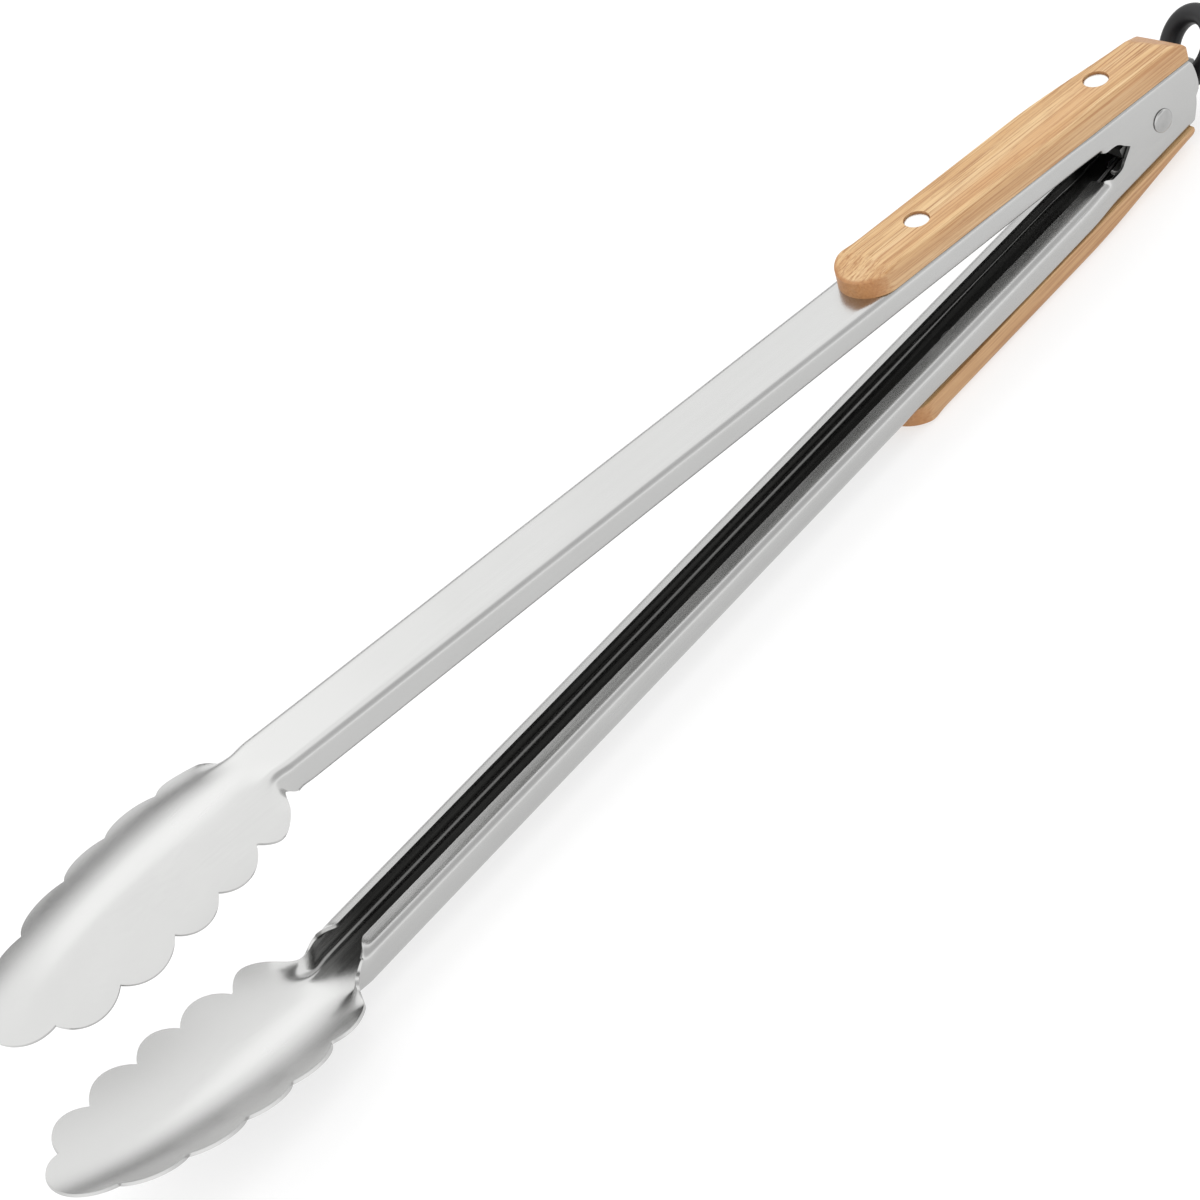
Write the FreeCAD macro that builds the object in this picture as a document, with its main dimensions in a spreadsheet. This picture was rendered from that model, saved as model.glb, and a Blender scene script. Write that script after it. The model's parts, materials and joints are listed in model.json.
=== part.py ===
import FreeCAD, Part

import math
import os

import Sketcher

# Spring loaded kitchen tongs.
#
# Two pressed steel arms are hinged on a rivet pin at the tail. Each arm carries a wooden grip
# scale on its outer face, and ends in a scalloped spoon. A torsion spring on the pin opens the
# jaws, and a sheet metal slider with a black pull ring locks them.
#
# Row frame: +X runs from the pin towards the spoons, +Y along the pin, +Z upwards. The lower
# arm lies level on its grip scale, so the scale's outer face is the plane z = 0, and the
# origin is the point of that face straight below the pin.
#
# Arm frame, used for everything that one arm carries: origin on the pin axis, +X towards the
# spoon, +Z outwards, away from the other arm.

DOC = FreeCAD.newDocument("kitchen_tongs")
Vec = FreeCAD.Vector
X_AXIS = Vec(1, 0, 0)
Y_AXIS = Vec(0, 1, 0)
Z_AXIS = Vec(0, 0, 1)
BIG = 60.0

SIZES = (
    # arms: pressed sheet
    ("gauge", 0.9, "sheet thickness"),
    ("opening", 9.74, "angle between the arms, spring open, degrees"),
    ("pin_to_web", 10.64, "pin axis to an arm's outer face"),
    ("bend_radius", 2.75, "outer radius of the channel's bends"),
    ("lip_width", 4.8, "flange's outer face to the free edge of the lip"),
    ("lip_start", 20.5, "where the lips begin"),
    ("joggle_end", 32.0, "where both channels have their common width"),
    ("neck", 321.0, "where the channel ends and the spoon begins"),
    ("half_width_joggle", 9.05, "half the channel's width after the joggle"),
    ("half_width_neck", 9.5, "half the channel's width at the neck"),
    ("flange_start", 7.5, "flange height where the lips begin"),
    ("flange_neck", 9.7, "flange height at the neck"),
    ("upper_ear_half", 9.45, "pin middle to the upper ears' outer face"),
    ("lower_ear_half", 8.4, "pin middle to the lower ears' outer face"),
    ("upper_tail", 13.5, "pin to the upper arm's rear edge"),
    ("lower_ear_radius", 14.1, "radius of the lower ears' round rear edge"),
    ("ear_depth", 4.8, "how far an ear reaches past the pin axis"),
    # spoons
    ("spoon_reach", 419.5, "pin to the tip of the spoon"),
    ("spoon_dip", 20.2, "how far the tip curves in from the arm's outer face"),
    ("spoon_bow", 2.2, "power of the curve along the spoon"),
    ("spoon_dish", 0.0132, "cross curvature of the spoon, per mm"),
    # grip scales and their rivets
    ("scale_length", 121.0, "grip scale's length"),
    ("scale_half_width", 9.0, "half its width"),
    ("scale_thick", 6.52, "its thickness"),
    ("scale_chamfer", 1.3, "bevel along its outer edges"),
    ("scale_nose", 9.0, "length of the sloping facet at its front end"),
    ("scale_nose_drop", 1.6, "how far that facet drops"),
    ("lower_scale_cut", 4.7, "how much is cut off the lower scale's rear end"),
    ("rivet_rear", 24.7, "scale's rear end to its rear rivet"),
    ("rivet_front", 93.5, "scale's rear end to its front rivet"),
    ("rivet_head_radius", 3.45, "visible rivet disc"),
    ("rivet_head_thick", 1.0, "its thickness"),
    ("rivet_sink", 0.4, "how far the disc lies below the wood"),
    ("rivet_pocket_gap", 0.2, "gap round the disc"),
    ("rivet_tube_radius", 2.0, "outside of the rivet's tube"),
    ("rivet_bore_radius", 1.2, "bore of the tube, and the stud's shank"),
    ("rivet_stud_radius", 3.1, "stud's head inside the channel"),
    ("rivet_stud_thick", 0.8, "its thickness"),
    ("rivet_hole_gap", 0.05, "gap between the tube and the wood or sheet"),
    # pivot
    ("pin_radius", 2.0, "hinge pin"),
    ("pin_gap", 0.05, "running gap round the pin"),
    ("pin_head_radius", 3.3, "domed head"),
    ("pin_head_height", 1.0, "its height"),
    ("pin_head_rim", 0.2, "its straight rim"),
    ("pin_tail_radius", 2.9, "peened end"),
    ("pin_tail_flat", 2.2, "its flat end's radius"),
    ("pin_tail_height", 1.0, "its height"),
    ("washer_radius", 3.8, "washer under the peened end"),
    ("washer_thick", 0.6, "its thickness"),
    ("side_gap", 0.1, "gap beside each ear along the pin"),
    ("spacer_radius", 3.2, "tube between the lower ears"),
    # torsion spring
    ("wire_radius", 0.6, "spring wire"),
    ("coil_radius", 4.2, "coil, to the middle of the wire"),
    ("coil_start", 2.05, "first turn, from the middle plane"),
    ("coil_pitch", 1.3, "turn to turn"),
    ("coil_turns", 2.0, "whole turns besides the part turn between the legs"),
    ("leg_reach", 26.0, "where each leg bears on its arm"),
    ("leg_gap", 0.4, "gap between a leg's end and the sheet"),
    # lock slider and pull ring
    ("slider_half_thick", 0.75, "half the slider plate's thickness"),
    ("slider_half_height", 6.0, "half its height beside the slot"),
    ("slider_corner", 2.0, "size of its cut corners"),
    ("slider_travel", 7.0, "pull that locks the tongs"),
    ("slider_gap", 0.25, "gap between the slot and the spacer"),
    ("slider_bridge", 2.0, "plate in front of the slot"),
    ("wing_half_span", 7.2, "half the span of the locking wings"),
    ("wing_half_height", 1.5, "half their height"),
    ("wing_length", 2.0, "their length along the slider"),
    ("eye_x", -17.2, "ring hole in the slider, from the pin"),
    ("eye_z", -3.4, "its height from the pin"),
    ("eye_radius", 3.3, "its radius"),
    ("eye_rim", 2.0, "plate round it"),
    ("ring_radius", 8.5, "pull ring, to the middle of its section"),
    ("ring_section", 2.85, "radius of its round section"),
    ("ring_tilt", 40.0, "its angle above straight back, degrees"),
    ("ring_twist", -12.0, "its turn about its own long axis, degrees"),
)


def make_sheet():
    sheet = DOC.addObject("Spreadsheet::Sheet", "sizes")
    for row, (alias, value, note) in enumerate(SIZES, start=1):
        sheet.set(f"A{row}", alias)
        sheet.set(f"B{row}", str(value))
        sheet.set(f"C{row}", note)
        sheet.setAlias(f"B{row}", alias)
    DOC.recompute()
    return sheet


SHEET = make_sheet()


def size(alias):
    return float(getattr(SHEET, alias))


PIN_HEIGHT = size("pin_to_web") + size("scale_thick")
UPPER = FreeCAD.Placement(Vec(0, 0, PIN_HEIGHT), FreeCAD.Rotation(Y_AXIS, -size("opening")))
LOWER = FreeCAD.Placement(Vec(0, 0, PIN_HEIGHT), FreeCAD.Rotation(X_AXIS, 180))
AT_PIN = FreeCAD.Placement(Vec(0, 0, PIN_HEIGHT), FreeCAD.Rotation())
SUBPARTS = []


def on_arm(arm, x, z):
    """Placement of something that sits at (x, 0, z) of an arm frame."""
    return arm.multiply(FreeCAD.Placement(Vec(x, 0, z), FreeCAD.Rotation()))


def keep(obj, name):
    """Marks a finished sub-part and gives it its node name."""
    obj.Label = name
    SUBPARTS.append(obj)
    return obj


# --- PartDesign helpers ------------------------------------------------------------------

def make_body(name, placement):
    body = DOC.addObject("PartDesign::Body", name)
    body.Placement = placement
    return keep(body, name)


def make_sketch(body, role, name):
    plane = [item for item in body.Origin.OriginFeatures if item.Role == role][0]
    sketch = body.newObject("Sketcher::SketchObject", name)
    sketch.AttachmentSupport = [(plane, "")]
    sketch.MapMode = "FlatFace"
    return sketch


def make_pad(body, sketch, length, midplane=False):
    pad = body.newObject("PartDesign::Pad", sketch.Name + "_pad")
    pad.Profile = sketch
    pad.Midplane = midplane
    pad.setExpression("Length", length)
    sketch.Visibility = False
    DOC.recompute()
    return pad


def make_pocket(body, sketch, through=True, depth=None):
    """Cuts the sketch out of the body, both ways, or to a depth; it has to remove something."""
    before = body.Shape.Volume
    pocket = body.newObject("PartDesign::Pocket", sketch.Name + "_pocket")
    pocket.Profile = sketch
    if through:
        pocket.Type = "ThroughAll"
        pocket.Midplane = True
    else:
        pocket.setExpression("Length", depth)
    DOC.recompute()
    if body.Shape.Volume >= before:
        pocket.Reversed = True
        DOC.recompute()
    if body.Shape.Volume >= before:
        raise RuntimeError(f"{pocket.Name} cuts nothing")
    return pocket


def circle(sketch, radius, across="0", up="0"):
    """A circle whose radius and centre follow the sheet."""
    start = Vec(evaluate(across), evaluate(up), 0)
    index = sketch.addGeometry(Part.Circle(start, Z_AXIS, evaluate(radius)), False)
    number = sketch.addConstraint(Sketcher.Constraint("Radius", index, evaluate(radius)))
    sketch.setExpression(f"Constraints[{number}]", radius)
    sketch.addConstraint(Sketcher.Constraint("DistanceX", -1, 1, index, 3, start.x))
    sketch.setExpression(f"Constraints[{sketch.ConstraintCount - 1}]", across)
    sketch.addConstraint(Sketcher.Constraint("DistanceY", -1, 1, index, 3, start.y))
    sketch.setExpression(f"Constraints[{sketch.ConstraintCount - 1}]", up)


def evaluate(expression):
    """Value of an arithmetic expression of sheet cells, for a first guess at a shape."""
    return float(SHEET.evalExpression(expression.replace("sizes.", "")))


def polygon(sketch, corners):
    """A closed outline whose corners follow pairs of expressions."""
    points = [Vec(evaluate(across), evaluate(up), 0) for across, up in corners]
    count = len(points)
    for number in range(count):
        line = Part.LineSegment(points[number], points[(number + 1) % count])
        sketch.addGeometry(line, False)
    for number in range(count):
        following = (number + 1) % count
        sketch.addConstraint(Sketcher.Constraint("Coincident", number, 2, following, 1))
    for number, (across, up) in enumerate(corners):
        for kind, expression, value in (
            ("DistanceX", across, points[number].x),
            ("DistanceY", up, points[number].y),
        ):
            sketch.addConstraint(Sketcher.Constraint(kind, -1, 1, number, 1, value))
            sketch.setExpression(f"Constraints[{sketch.ConstraintCount - 1}]", expression)


def revolve(body, sketch, axis):
    turned = body.newObject("PartDesign::Revolution", sketch.Name + "_turned")
    turned.Profile = sketch
    turned.ReferenceAxis = (sketch, [axis])
    turned.Angle = 360
    DOC.recompute()
    return turned


# --- pressed arms ------------------------------------------------------------------------

def channel_section(x, half, flange):
    """Closed outline of the lipped channel across the arm at x, web outwards."""
    gauge = size("gauge")
    outer = size("bend_radius")
    inner = outer - gauge
    web = size("pin_to_web")
    foot = web - flange
    lip = half - size("lip_width")
    slant = math.sqrt(0.5)

    def side(offset, radius):
        """Points from the free edge of the +Y lip to the middle of the web."""
        wall = half - offset
        near_foot = Vec(x, half - outer, foot + outer)
        near_web = Vec(x, half - outer, web - outer)
        return (
            Vec(x, lip, foot + offset),
            Vec(x, near_foot.y, foot + offset),
            near_foot + Vec(0, slant * radius, -slant * radius),
            Vec(x, wall, near_foot.z),
            Vec(x, wall, near_web.z),
            near_web + Vec(0, slant * radius, slant * radius),
            Vec(x, near_web.y, web - offset),
        )

    def edges(points):
        return [
            Part.LineSegment(points[0], points[1]).toShape(),
            Part.Arc(points[1], points[2], points[3]).toShape(),
            Part.LineSegment(points[3], points[4]).toShape(),
            Part.Arc(points[4], points[5], points[6]).toShape(),
        ]

    outside = side(0.0, outer)
    inside = side(gauge, inner)
    mirrored_outside = [Vec(p.x, -p.y, p.z) for p in outside]
    mirrored_inside = [Vec(p.x, -p.y, p.z) for p in inside]
    parts = edges(outside) + edges(inside) + edges(mirrored_outside) + edges(mirrored_inside)
    for one, other in (
        (outside[6], mirrored_outside[6]),
        (inside[6], mirrored_inside[6]),
        (outside[0], inside[0]),
        (mirrored_outside[0], mirrored_inside[0]),
    ):
        parts.append(Part.LineSegment(one, other).toShape())
    return Part.Wire(Part.__sortEdges__(parts))


def channel(ear_half):
    """The lipped channel from the ears to the neck."""
    start = size("lip_start")
    neck = size("neck")
    joggle = size("joggle_end")
    growth = (size("flange_neck") - size("flange_start")) / (neck - start)
    stations = (
        (start, ear_half),
        (joggle, size("half_width_joggle")),
        (neck, size("half_width_neck")),
    )
    wires = [
        channel_section(x, half, size("flange_start") + growth * (x - start))
        for x, half in stations
    ]
    return Part.makeLoft(wires, True, True)


def ear_block(ear_half, outline):
    """Web and two ears behind the lips, trimmed to a side outline in the XZ plane."""
    gauge = size("gauge")
    web = size("pin_to_web")
    reach = BIG / 2
    long_x = size("lip_start") + reach
    outside = Part.makeBox(long_x, 2 * ear_half, web + reach, Vec(-reach, -ear_half, -reach))
    inside = Part.makeBox(
        long_x + 2, 2 * (ear_half - gauge), web + reach - gauge,
        Vec(-reach - 1, gauge - ear_half, -reach - 1e-3),
    )
    corners = [
        edge for edge in outside.Edges
        if abs(edge.BoundBox.ZMin - web) < 1e-6 and edge.BoundBox.XLength > BIG / 2
    ]
    outside = outside.makeFillet(size("bend_radius"), corners)
    inner_corners = [
        edge for edge in inside.Edges
        if abs(edge.BoundBox.ZMin - (web - gauge - 1e-3)) < 1e-6 and edge.BoundBox.XLength > BIG / 2
    ]
    inside = inside.makeFillet(size("bend_radius") - gauge, inner_corners)
    profile = Part.Face(outline).extrude(Vec(0, BIG, 0))
    profile.translate(Vec(0, -BIG / 2, 0))
    return outside.cut(inside).common(profile)


def line(a, b):
    return Part.LineSegment(Vec(a[0], 0, a[1]), Vec(b[0], 0, b[1])).toShape()


def arc(a, b, c):
    return Part.Arc(*(Vec(x, 0, z) for x, z in (a, b, c))).toShape()


# Points that the ears' edges pass through, as (x, z) in the arm frame.
THROAT = (11.75, -0.8)
THROAT_CURVE = (9.4, -2.95)
SHOULDER_X = 17.3
BOTTOM_X = 3.0
UPPER_BELLY = (-7.0, -4.0)
UPPER_HEEL = ((-13.2, -0.1), (-14.4, 1.0), (-14.9, 2.6))
UPPER_BACK = (-14.6, 7.4)
LOWER_BELLY_X = -6.0
LOWER_HEEL = (-11.2, -3.9)
LOWER_REAR_ANGLE = math.radians(186)


def ear_front():
    """Front edge that both ears share, from the lip's start down to the ear's lowest point."""
    foot = size("pin_to_web") - size("flange_start")
    return (size("lip_start"), foot), (SHOULDER_X, foot), THROAT, (BOTTOM_X, -size("ear_depth"))


def upper_ear_outline():
    step, shoulder, throat, bottom = ear_front()
    web = size("pin_to_web") + 1
    tail = size("upper_tail")
    edges = [
        line((step[0], web), step),
        line(step, shoulder),
        line(shoulder, throat),
        arc(throat, THROAT_CURVE, bottom),
        arc(bottom, UPPER_BELLY, UPPER_HEEL[0]),
        arc(*UPPER_HEEL),
        arc(UPPER_HEEL[2], UPPER_BACK, (-tail, web)),
        line((-tail, web), (step[0], web)),
    ]
    return Part.Wire(Part.__sortEdges__(edges))


def lower_ear_outline():
    step, shoulder, throat, bottom = ear_front()
    web = size("pin_to_web") + 1
    radius = size("lower_ear_radius")
    low = (LOWER_BELLY_X, -size("ear_depth"))
    rear_angle = LOWER_REAR_ANGLE
    rear = (radius * math.cos(rear_angle), radius * math.sin(rear_angle))
    top_angle = math.radians(180) - math.asin(web / radius)
    top = (radius * math.cos(top_angle), web)
    middle_angle = (rear_angle + top_angle) / 2
    middle = (radius * math.cos(middle_angle), radius * math.sin(middle_angle))
    edges = [
        line((step[0], web), step),
        line(step, shoulder),
        line(shoulder, throat),
        arc(throat, THROAT_CURVE, bottom),
        line(bottom, low),
        arc(low, LOWER_HEEL, rear),
        arc(rear, middle, top),
        line(top, (step[0], web)),
    ]
    return Part.Wire(Part.__sortEdges__(edges))


# Scalloped plan outline of a spoon: places of the notches and of the crests between them,
# as fractions of the way from the neck to the tip and half widths.
NOTCHES = ((0.216, 18.2), (0.382, 20.6), (0.538, 20.1), (0.721, 18.0), (0.893, 11.2))
CRESTS = ((0.310, 23.4), (0.467, 24.0), (0.635, 23.2), (0.817, 19.2))
FLARE = ((0.030, 10.4), (0.065, 16.2), (0.135, 22.3))
# How far the spoon's sheet reaches back under the web, and how far inside the web's edges.
ROOT_LENGTH = 6.0
ROOT_INSET = 1.0


def spoon_outline():
    """Closed wire in the XY plane; its rear end lies inside the channel's web."""
    neck = size("neck")
    length = size("spoon_reach") - neck

    def at(point, sign):
        return Vec(neck + point[0] * length, sign * point[1], 0)

    root = neck - ROOT_LENGTH
    root_half = size("half_width_neck") - ROOT_INSET
    edges = []
    for sign in (1, -1):
        start = Vec(root, sign * root_half, 0)
        mouth, side, lobe, notch = (at(point, sign) for point in (*FLARE, NOTCHES[0]))
        edges.append(Part.LineSegment(start, Vec(neck, start.y, 0)).toShape())
        edges.append(Part.LineSegment(Vec(neck, start.y, 0), mouth).toShape())
        edges.append(Part.LineSegment(mouth, side).toShape())
        edges.append(Part.Arc(side, lobe, notch).toShape())
        for before, crest, after in zip(NOTCHES, CRESTS, NOTCHES[1:]):
            edges.append(Part.Arc(at(before, sign), at(crest, sign), at(after, sign)).toShape())
    last = NOTCHES[-1]
    edges.append(Part.Arc(at(last, 1), Vec(neck + length, 0, 0), at(last, -1)).toShape())
    edges.append(Part.LineSegment(Vec(root, root_half, 0), Vec(root, -root_half, 0)).toShape())
    return Part.Wire(Part.__sortEdges__(edges))


def spoon_height(x, y):
    """Outer face of the spoon, from the arm's middle plane."""
    neck = size("neck")
    along = max(0.0, x - neck) / (size("spoon_reach") - neck)
    dip = size("spoon_dip") * along ** size("spoon_bow")
    return size("pin_to_web") - dip - size("spoon_dish") * y * y


def spoon():
    """Dished sheet through a grid of points, trimmed to the scalloped outline."""
    rows = 15
    columns = 11
    half = 26.0
    margin = 2.0
    first = size("neck") - ROOT_LENGTH - margin
    last = size("spoon_reach") + margin
    across = [half * (2 * column / (columns - 1) - 1) for column in range(columns)]
    along = [first + (last - first) * row / (rows - 1) for row in range(rows)]
    grid = [[Vec(x, y, spoon_height(x, y)) for y in across] for x in along]
    surface = Part.BSplineSurface()
    surface.interpolate(grid)
    sheet = surface.toShape().extrude(Vec(0, 0, -size("gauge")))
    plan = Part.Face(spoon_outline()).extrude(Vec(0, 0, 2 * BIG))
    plan.translate(Vec(0, 0, -BIG))
    return sheet.common(plan)


def rivet_stations():
    """Rivet positions along either arm."""
    return [size(place) - size("upper_tail") for place in ("rivet_rear", "rivet_front")]


def make_arm(name, placement, ear_half, outline, pin_hole):
    """A pressed arm: ears, channel and spoon in one sheet, with its pin and rivet holes."""
    blank = DOC.addObject("Part::Feature", name + "_pressing")
    pressing = ear_block(ear_half, outline).fuse([channel(ear_half), spoon()])
    blank.Shape = pressing.removeSplitter()
    bore = DOC.addObject("Part::Cylinder", name + "_pin_hole")
    bore.setExpression("Radius", pin_hole)
    bore.Height = BIG
    bore.Placement = FreeCAD.Placement(Vec(0, BIG / 2, 0), FreeCAD.Rotation(X_AXIS, 90))
    holes = [bore]
    for number, x in enumerate(rivet_stations(), start=1):
        hole = DOC.addObject("Part::Cylinder", f"{name}_rivet_hole_{number}")
        hole.setExpression("Radius", "sizes.rivet_tube_radius + sizes.rivet_hole_gap")
        hole.Height = BIG
        hole.Placement = FreeCAD.Placement(Vec(x, 0, 0), FreeCAD.Rotation())
        holes.append(hole)
    tools = DOC.addObject("Part::MultiFuse", name + "_holes")
    tools.Shapes = holes
    arm = DOC.addObject("Part::Cut", name)
    arm.Base = blank
    arm.Tool = tools
    arm.Placement = placement
    return keep(arm, name)


# --- wooden scales and their rivets --------------------------------------------------------

def make_scale(name, arm, cut):
    """Grip scale: half round front end with a sloping facet, bevelled, rear end cut square.

    The sketches' origin is where the full length scale ends; cut is an expression for how much
    is missing there.
    """
    body = make_body(name, on_arm(arm, -size("upper_tail"), size("pin_to_web")))
    plan = make_sketch(body, "XY_Plane", name + "_plan")
    half = size("scale_half_width")
    rear = evaluate(cut)
    straight = size("scale_length") - half
    plan.addGeometry(Part.LineSegment(Vec(rear, -half, 0), Vec(straight, -half, 0)), False)
    front = Part.Circle(Vec(straight, 0, 0), Z_AXIS, half)
    plan.addGeometry(Part.ArcOfCircle(front, -math.pi / 2, math.pi / 2), False)
    plan.addGeometry(Part.LineSegment(Vec(straight, half, 0), Vec(rear, half, 0)), False)
    plan.addGeometry(Part.LineSegment(Vec(rear, half, 0), Vec(rear, -half, 0)), False)
    plan.addConstraint(Sketcher.Constraint("Tangent", 0, 2, 1, 1))
    plan.addConstraint(Sketcher.Constraint("Tangent", 1, 2, 2, 1))
    plan.addConstraint(Sketcher.Constraint("Coincident", 2, 2, 3, 1))
    plan.addConstraint(Sketcher.Constraint("Coincident", 3, 2, 0, 1))
    plan.addConstraint(Sketcher.Constraint("Horizontal", 0))
    plan.addConstraint(Sketcher.Constraint("Vertical", 3))
    plan.addConstraint(Sketcher.Constraint("PointOnObject", 1, 3, -1))
    number = plan.addConstraint(Sketcher.Constraint("DistanceX", -1, 1, 3, 1, rear))
    plan.setExpression(f"Constraints[{number}]", cut)
    number = plan.addConstraint(Sketcher.Constraint("Radius", 1, half))
    plan.setExpression(f"Constraints[{number}]", "sizes.scale_half_width")
    number = plan.addConstraint(Sketcher.Constraint("DistanceX", -1, 1, 1, 3, straight))
    plan.setExpression(f"Constraints[{number}]", "sizes.scale_length - sizes.scale_half_width")
    pad = make_pad(body, plan, "sizes.scale_thick")

    top = size("scale_thick")
    long_edges = [
        f"Edge{number}" for number, edge in enumerate(pad.Shape.Edges, start=1)
        if abs(edge.BoundBox.ZMin - top) < 1e-6 and edge.Curve.TypeId == "Part::GeomLine"
    ]
    bevel = body.newObject("PartDesign::Chamfer", name + "_bevel")
    bevel.Base = (pad, long_edges)
    bevel.setExpression("Size", "sizes.scale_chamfer")
    DOC.recompute()

    nose = make_sketch(body, "XZ_Plane", name + "_nose")
    polygon(nose, (
        ("sizes.scale_length - sizes.scale_nose", "sizes.scale_thick"),
        ("sizes.scale_length + 1", "sizes.scale_thick - sizes.scale_nose_drop"),
        ("sizes.scale_length + 1", "sizes.scale_thick + 1"),
        ("sizes.scale_length - sizes.scale_nose", "sizes.scale_thick + 1"),
    ))
    make_pocket(body, nose)

    holes = make_sketch(body, "XY_Plane", name + "_rivet_holes")
    for place in ("sizes.rivet_rear", "sizes.rivet_front"):
        circle(holes, "sizes.rivet_tube_radius + sizes.rivet_hole_gap", place)
    make_pocket(body, holes)

    seats = make_sketch(body, "XY_Plane", name + "_rivet_seats")
    seats.AttachmentOffset = FreeCAD.Placement(Vec(0, 0, top), FreeCAD.Rotation())
    for place in ("sizes.rivet_rear", "sizes.rivet_front"):
        circle(seats, "sizes.rivet_head_radius + sizes.rivet_pocket_gap", place)
    make_pocket(body, seats, False, "sizes.rivet_sink + sizes.rivet_head_thick")
    return body


def make_rivet(prefix, arm, x):
    """Two part cutlery rivet: a disc with a tube, and a stud pressed into it from inside."""
    place = on_arm(arm, x, size("pin_to_web"))
    inside = "-sizes.gauge"
    face = "sizes.scale_thick - sizes.rivet_sink"
    shoulder = "sizes.scale_thick - sizes.rivet_sink - sizes.rivet_head_thick"
    depth = "sizes.scale_thick / 2"

    socket = make_body(prefix + "_socket", place)
    sketch = make_sketch(socket, "XZ_Plane", prefix + "_socket_profile")
    polygon(sketch, (
        ("0", face),
        ("0", depth),
        ("sizes.rivet_bore_radius", depth),
        ("sizes.rivet_bore_radius", inside),
        ("sizes.rivet_tube_radius", inside),
        ("sizes.rivet_tube_radius", shoulder),
        ("sizes.rivet_head_radius", shoulder),
        ("sizes.rivet_head_radius", face),
    ))
    revolve(socket, sketch, "V_Axis")

    stud = make_body(prefix + "_stud", place)
    sketch = make_sketch(stud, "XZ_Plane", prefix + "_stud_profile")
    polygon(sketch, (
        ("0", depth),
        ("0", "-sizes.gauge - sizes.rivet_stud_thick"),
        ("sizes.rivet_stud_radius", "-sizes.gauge - sizes.rivet_stud_thick"),
        ("sizes.rivet_stud_radius", inside),
        ("sizes.rivet_bore_radius", inside),
        ("sizes.rivet_bore_radius", depth),
    ))
    revolve(stud, sketch, "V_Axis")


# --- pivot ----------------------------------------------------------------------------------

def make_pin():
    """Hinge pin: a domed head beyond the +Y ears, and a peened end beyond the washer."""
    body = make_body("pivot_pin", AT_PIN)
    sketch = make_sketch(body, "XY_Plane", "pivot_pin_profile")
    seat = size("upper_ear_half") + size("side_gap")
    dome = seat + size("pin_head_height")
    head = size("pin_head_radius")
    radius = size("pin_radius")
    tail_seat = -seat - size("washer_thick") - size("side_gap")
    tail_end = tail_seat - size("pin_tail_height")
    tail = size("pin_tail_radius")
    tail_flat = size("pin_tail_flat")
    rim = size("pin_head_rim")
    rise = size("pin_head_height") - rim
    dome_radius = (head * head + rise * rise) / (2 * rise)
    half_angle = math.asin(head / dome_radius) / 2
    bulge_drop = dome_radius * (1 - math.cos(half_angle))
    bulge = Vec(dome_radius * math.sin(half_angle), dome - bulge_drop, 0)
    corners = [
        Vec(0, dome, 0), Vec(head, seat + rim, 0), Vec(head, seat, 0), Vec(radius, seat, 0),
        Vec(radius, tail_seat, 0), Vec(tail, tail_seat, 0), Vec(tail_flat, tail_end, 0),
        Vec(0, tail_end, 0),
    ]
    sketch.addGeometry(Part.Arc(corners[1], bulge, corners[0]), False)
    for start, end in zip(corners[1:], corners[2:] + corners[:1]):
        sketch.addGeometry(Part.LineSegment(start, end), False)
    for index in range(len(corners)):
        sketch.addConstraint(Sketcher.Constraint("Block", index))
    revolve(body, sketch, "V_Axis")


def make_tube(name, outer, inner, length, start):
    """A tube or washer along the pin, from expressions of the sheet."""
    cylinders = []
    for part, radius in (("outside", outer), ("bore", inner)):
        cylinder = DOC.addObject("Part::Cylinder", f"{name}_{part}")
        cylinder.setExpression("Radius", radius)
        cylinder.setExpression("Height", length)
        cylinders.append(cylinder)
    tube = DOC.addObject("Part::Cut", name)
    tube.Base, tube.Tool = cylinders
    turned = FreeCAD.Rotation(X_AXIS, 90)
    tube.Placement = FreeCAD.Placement(Vec(0, evaluate(start), PIN_HEIGHT), turned)
    return keep(tube, name)


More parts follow.
